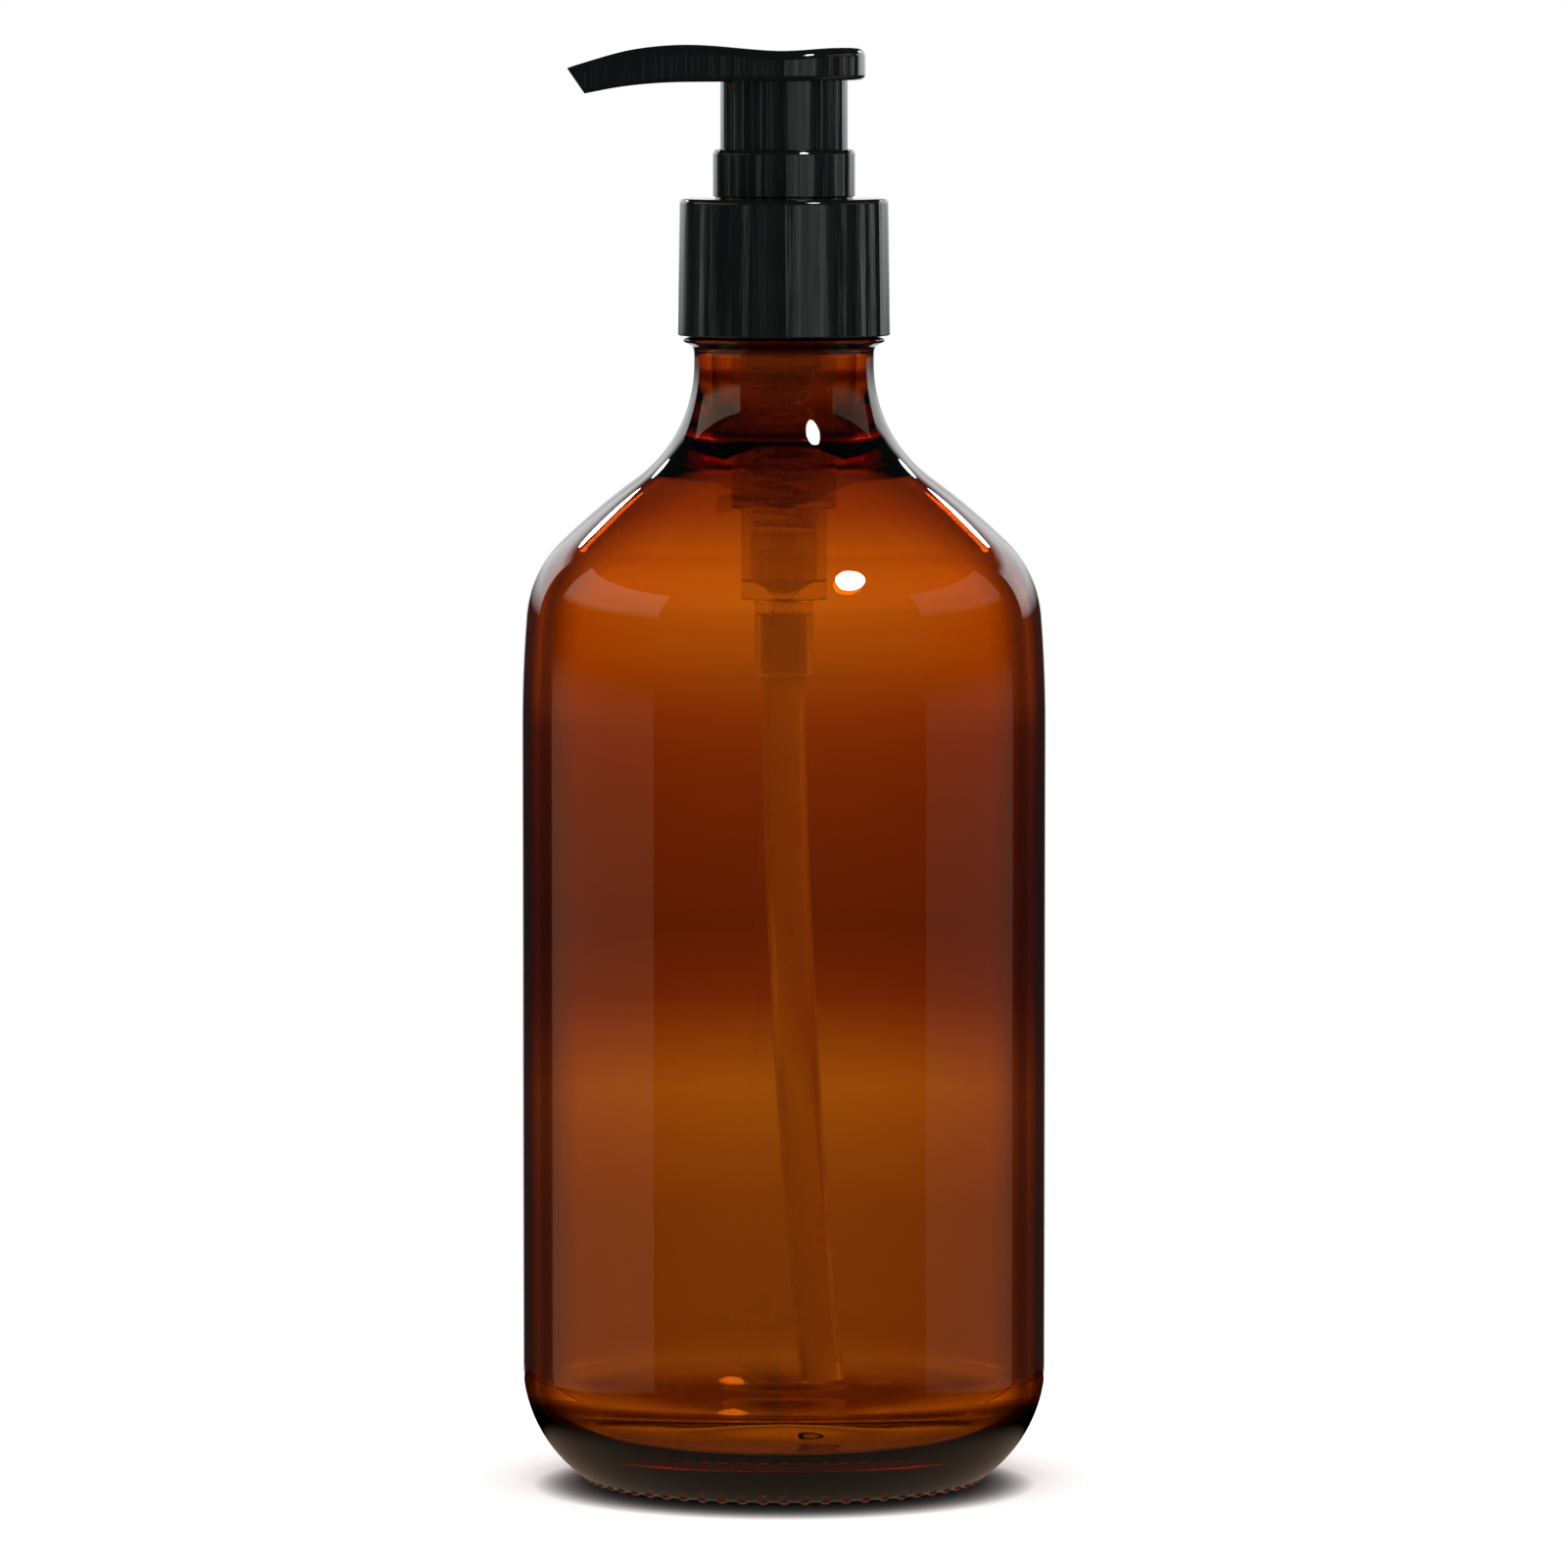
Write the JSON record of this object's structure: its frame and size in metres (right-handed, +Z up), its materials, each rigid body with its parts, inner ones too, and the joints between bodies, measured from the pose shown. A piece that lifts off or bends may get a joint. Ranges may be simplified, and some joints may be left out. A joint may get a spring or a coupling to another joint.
{
  "type": "soap pump dispenser",
  "caption": "Round amber glass bottle with a black lotion pump: pressing the head on its stem draws liquid up the dip tube and out of the side nozzle; the collar unscrews.",
  "frame": {"origin": "centre of the base, on the surface that the bottle stands on", "axes": "+Z up along the bottle's axis; the nozzle points along -X"},
  "size_m": [0.075, 0.075, 0.2052],
  "materials": {
    "amber_glass": "clear amber glass, polished, with faint moulding waves and a stippled base ring",
    "black_plastic": "smooth black polypropylene, semi-gloss",
    "natural_plastic": "natural translucent polypropylene",
    "white_seal": "soft off-white foam and elastomer",
    "steel": "drawn and ground stainless steel"
  },
  "bodies": {
    "bottle": {"bottle": "amber_glass"},
    "pump": {"housing": "natural_plastic", "chaplet": "black_plastic", "outer_gasket": "white_seal", "stem_seal": "white_seal", "spring_seat": "natural_plastic", "dip_tube": "natural_plastic", "spring": "steel"},
    "collar": {"collar": "black_plastic"},
    "plunger": {"valve_rod": "natural_plastic"},
    "head": {"actuator_head": "black_plastic", "stem": "black_plastic"},
    "piston": {"piston": "natural_plastic"},
    "ball": {"inlet_ball": "steel"}
  },
  "joints": [
    {"name": "pump_rise", "type": "slide", "parent": "bottle", "child": "pump", "axis": [0, 0, 1], "range_m": [0, 0.00847]},
    {"name": "collar_turn", "type": "hinge", "parent": "pump", "child": "collar", "pos_m": [0, 0, 0.1736], "axis": [0, 0, 1], "range_deg": [0, 720]},
    {"name": "press", "type": "slide", "parent": "pump", "child": "plunger", "axis": [0, 0, -1], "range_m": [0, 0.009], "stiffness_N_per_m": 600, "springref_m": -0.006, "deforming": ["spring"]},
    {"name": "head_turn", "type": "hinge", "parent": "plunger", "child": "head", "pos_m": [0, 0, 0.195], "axis": [0, 0, 1], "range_deg": [0, 90]},
    {"name": "piston_slip", "type": "slide", "parent": "plunger", "child": "piston", "axis": [0, 0, 1], "range_m": [0, 0.0015]},
    {"name": "ball_lift", "type": "slide", "parent": "pump", "child": "ball", "axis": [0, 0, 1], "range_m": [0, 0.0012]}
  ],
  "couplings": [
    {"joint": "pump_rise", "follows": "collar_turn", "m_per_rad": 0.0006737}
  ]
}
